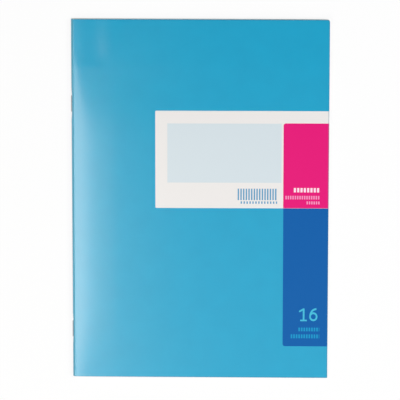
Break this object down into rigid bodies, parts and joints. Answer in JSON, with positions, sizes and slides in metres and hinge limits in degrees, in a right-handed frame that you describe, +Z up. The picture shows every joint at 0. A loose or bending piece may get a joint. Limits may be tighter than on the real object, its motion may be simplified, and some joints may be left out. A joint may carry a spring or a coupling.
{
  "type": "columnar ledger book",
  "caption": "Saddle-stitched A4 ledger book of forty columnar leaves in a light blue laminated card cover that opens about its fold.",
  "frame": {"origin": "centre of the closed book's box, on the face of the back cover that it lies on", "axes": "+X from the spine to the fore edge, +Y up the page to the head, +Z up from the back cover"},
  "size_m": [0.2104, 0.297, 0.0066],
  "materials": {
    "cover_card": "gloss laminated card",
    "long_sheet_paper": "smooth uncoated paper, ruled",
    "short_sheet_paper": "smooth uncoated paper, ruled",
    "staple_wire": "galvanised stitching wire"
  },
  "bodies": {
    "back_block": {"back_cover": "cover_card", "sheet_01_back_leaf": "long_sheet_paper", "sheet_02_back_leaf": "short_sheet_paper", "sheet_03_back_leaf": "short_sheet_paper", "sheet_04_back_leaf": "short_sheet_paper", "sheet_05_back_leaf": "short_sheet_paper", "sheet_06_back_leaf": "short_sheet_paper", "sheet_07_back_leaf": "short_sheet_paper", "sheet_08_back_leaf": "short_sheet_paper", "sheet_09_back_leaf": "short_sheet_paper", "sheet_10_back_leaf": "short_sheet_paper", "sheet_11_back_leaf": "short_sheet_paper", "sheet_12_back_leaf": "short_sheet_paper", "sheet_13_back_leaf": "short_sheet_paper", "sheet_14_back_leaf": "short_sheet_paper", "sheet_15_back_leaf": "short_sheet_paper", "sheet_16_back_leaf": "short_sheet_paper", "sheet_17_back_leaf": "short_sheet_paper", "sheet_18_back_leaf": "short_sheet_paper", "sheet_19_back_leaf": "short_sheet_paper", "sheet_20_back_leaf": "short_sheet_paper"},
    "spine": {"cover_spine": "cover_card", "sheet_01_fold": "long_sheet_paper", "short_sheet_folds": "short_sheet_paper", "upper_staple": "staple_wire", "lower_staple": "staple_wire"},
    "front_board": {"front_cover": "cover_card"},
    "leaf_01": {"sheet_01_front_leaf": "long_sheet_paper"},
    "leaf_02": {"sheet_02_front_leaf": "short_sheet_paper"},
    "leaf_03": {"sheet_03_front_leaf": "short_sheet_paper"},
    "leaf_04": {"sheet_04_front_leaf": "short_sheet_paper"},
    "leaf_05": {"sheet_05_front_leaf": "short_sheet_paper"},
    "leaf_06": {"sheet_06_front_leaf": "short_sheet_paper"},
    "leaf_07": {"sheet_07_front_leaf": "short_sheet_paper"},
    "leaf_08": {"sheet_08_front_leaf": "short_sheet_paper"},
    "leaf_09": {"sheet_09_front_leaf": "short_sheet_paper"},
    "leaf_10": {"sheet_10_front_leaf": "short_sheet_paper"},
    "leaf_11": {"sheet_11_front_leaf": "short_sheet_paper"},
    "leaf_12": {"sheet_12_front_leaf": "short_sheet_paper"},
    "leaf_13": {"sheet_13_front_leaf": "short_sheet_paper"},
    "leaf_14": {"sheet_14_front_leaf": "short_sheet_paper"},
    "leaf_15": {"sheet_15_front_leaf": "short_sheet_paper"},
    "leaf_16": {"sheet_16_front_leaf": "short_sheet_paper"},
    "leaf_17": {"sheet_17_front_leaf": "short_sheet_paper"},
    "leaf_18": {"sheet_18_front_leaf": "short_sheet_paper"},
    "leaf_19": {"sheet_19_front_leaf": "short_sheet_paper"},
    "leaf_20": {"sheet_20_front_leaf": "short_sheet_paper"}
  },
  "joints": [
    {"name": "cover_opening", "type": "hinge", "parent": "back_block", "child": "front_board", "pos_m": [-0.10211, 0, 0.00265], "axis": [0, -1, 0], "range_deg": [0, 176]},
    {"name": "leaf_01_turn", "type": "hinge", "parent": "back_block", "child": "leaf_01", "pos_m": [-0.10211, 0, 0.00265], "axis": [0, -1, 0], "range_deg": [0, 176]},
    {"name": "leaf_02_turn", "type": "hinge", "parent": "back_block", "child": "leaf_02", "pos_m": [-0.10211, 0, 0.00265], "axis": [0, -1, 0], "range_deg": [0, 176]},
    {"name": "leaf_03_turn", "type": "hinge", "parent": "back_block", "child": "leaf_03", "pos_m": [-0.10211, 0, 0.00265], "axis": [0, -1, 0], "range_deg": [0, 176]},
    {"name": "leaf_04_turn", "type": "hinge", "parent": "back_block", "child": "leaf_04", "pos_m": [-0.10211, 0, 0.00265], "axis": [0, -1, 0], "range_deg": [0, 176]},
    {"name": "leaf_05_turn", "type": "hinge", "parent": "back_block", "child": "leaf_05", "pos_m": [-0.10211, 0, 0.00265], "axis": [0, -1, 0], "range_deg": [0, 176]},
    {"name": "leaf_06_turn", "type": "hinge", "parent": "back_block", "child": "leaf_06", "pos_m": [-0.10211, 0, 0.00265], "axis": [0, -1, 0], "range_deg": [0, 176]},
    {"name": "leaf_07_turn", "type": "hinge", "parent": "back_block", "child": "leaf_07", "pos_m": [-0.10211, 0, 0.00265], "axis": [0, -1, 0], "range_deg": [0, 176]},
    {"name": "leaf_08_turn", "type": "hinge", "parent": "back_block", "child": "leaf_08", "pos_m": [-0.10211, 0, 0.00265], "axis": [0, -1, 0], "range_deg": [0, 176]},
    {"name": "leaf_09_turn", "type": "hinge", "parent": "back_block", "child": "leaf_09", "pos_m": [-0.10211, 0, 0.00265], "axis": [0, -1, 0], "range_deg": [0, 176]},
    {"name": "leaf_10_turn", "type": "hinge", "parent": "back_block", "child": "leaf_10", "pos_m": [-0.10211, 0, 0.00265], "axis": [0, -1, 0], "range_deg": [0, 176]},
    {"name": "leaf_11_turn", "type": "hinge", "parent": "back_block", "child": "leaf_11", "pos_m": [-0.10211, 0, 0.00265], "axis": [0, -1, 0], "range_deg": [0, 176]},
    {"name": "leaf_12_turn", "type": "hinge", "parent": "back_block", "child": "leaf_12", "pos_m": [-0.10211, 0, 0.00265], "axis": [0, -1, 0], "range_deg": [0, 176]},
    {"name": "leaf_13_turn", "type": "hinge", "parent": "back_block", "child": "leaf_13", "pos_m": [-0.10211, 0, 0.00265], "axis": [0, -1, 0], "range_deg": [0, 176]},
    {"name": "leaf_14_turn", "type": "hinge", "parent": "back_block", "child": "leaf_14", "pos_m": [-0.10211, 0, 0.00265], "axis": [0, -1, 0], "range_deg": [0, 176]},
    {"name": "leaf_15_turn", "type": "hinge", "parent": "back_block", "child": "leaf_15", "pos_m": [-0.10211, 0, 0.00265], "axis": [0, -1, 0], "range_deg": [0, 176]},
    {"name": "leaf_16_turn", "type": "hinge", "parent": "back_block", "child": "leaf_16", "pos_m": [-0.10211, 0, 0.00265], "axis": [0, -1, 0], "range_deg": [0, 176]},
    {"name": "leaf_17_turn", "type": "hinge", "parent": "back_block", "child": "leaf_17", "pos_m": [-0.10211, 0, 0.00265], "axis": [0, -1, 0], "range_deg": [0, 176]},
    {"name": "leaf_18_turn", "type": "hinge", "parent": "back_block", "child": "leaf_18", "pos_m": [-0.10211, 0, 0.00265], "axis": [0, -1, 0], "range_deg": [0, 176]},
    {"name": "leaf_19_turn", "type": "hinge", "parent": "back_block", "child": "leaf_19", "pos_m": [-0.10211, 0, 0.00265], "axis": [0, -1, 0], "range_deg": [0, 176]},
    {"name": "leaf_20_turn", "type": "hinge", "parent": "back_block", "child": "leaf_20", "pos_m": [-0.10211, 0, 0.00265], "axis": [0, -1, 0], "range_deg": [0, 176]},
    {"name": "spine_roll", "type": "hinge", "parent": "back_block", "child": "spine", "pos_m": [-0.10211, 0, 0.00265], "axis": [0, -1, 0], "range_deg": [0, 88]}
  ],
  "couplings": [
    {"joint": "leaf_01_turn", "follows": "cover_opening", "ratio": 0.999},
    {"joint": "leaf_02_turn", "follows": "cover_opening", "ratio": 0.998},
    {"joint": "leaf_03_turn", "follows": "cover_opening", "ratio": 0.997},
    {"joint": "leaf_04_turn", "follows": "cover_opening", "ratio": 0.996},
    {"joint": "leaf_05_turn", "follows": "cover_opening", "ratio": 0.995},
    {"joint": "leaf_06_turn", "follows": "cover_opening", "ratio": 0.994},
    {"joint": "leaf_07_turn", "follows": "cover_opening", "ratio": 0.993},
    {"joint": "leaf_08_turn", "follows": "cover_opening", "ratio": 0.992},
    {"joint": "leaf_09_turn", "follows": "cover_opening", "ratio": 0.991},
    {"joint": "leaf_10_turn", "follows": "cover_opening", "ratio": 0.99},
    {"joint": "leaf_11_turn", "follows": "cover_opening", "ratio": 0.989},
    {"joint": "leaf_12_turn", "follows": "cover_opening", "ratio": 0.988},
    {"joint": "leaf_13_turn", "follows": "cover_opening", "ratio": 0.987},
    {"joint": "leaf_14_turn", "follows": "cover_opening", "ratio": 0.986},
    {"joint": "leaf_15_turn", "follows": "cover_opening", "ratio": 0.985},
    {"joint": "leaf_16_turn", "follows": "cover_opening", "ratio": 0.984},
    {"joint": "leaf_17_turn", "follows": "cover_opening", "ratio": 0.983},
    {"joint": "leaf_18_turn", "follows": "cover_opening", "ratio": 0.982},
    {"joint": "leaf_19_turn", "follows": "cover_opening", "ratio": 0.981},
    {"joint": "leaf_20_turn", "follows": "cover_opening", "ratio": 0.98},
    {"joint": "spine_roll", "follows": "cover_opening", "ratio": 0.5}
  ]
}
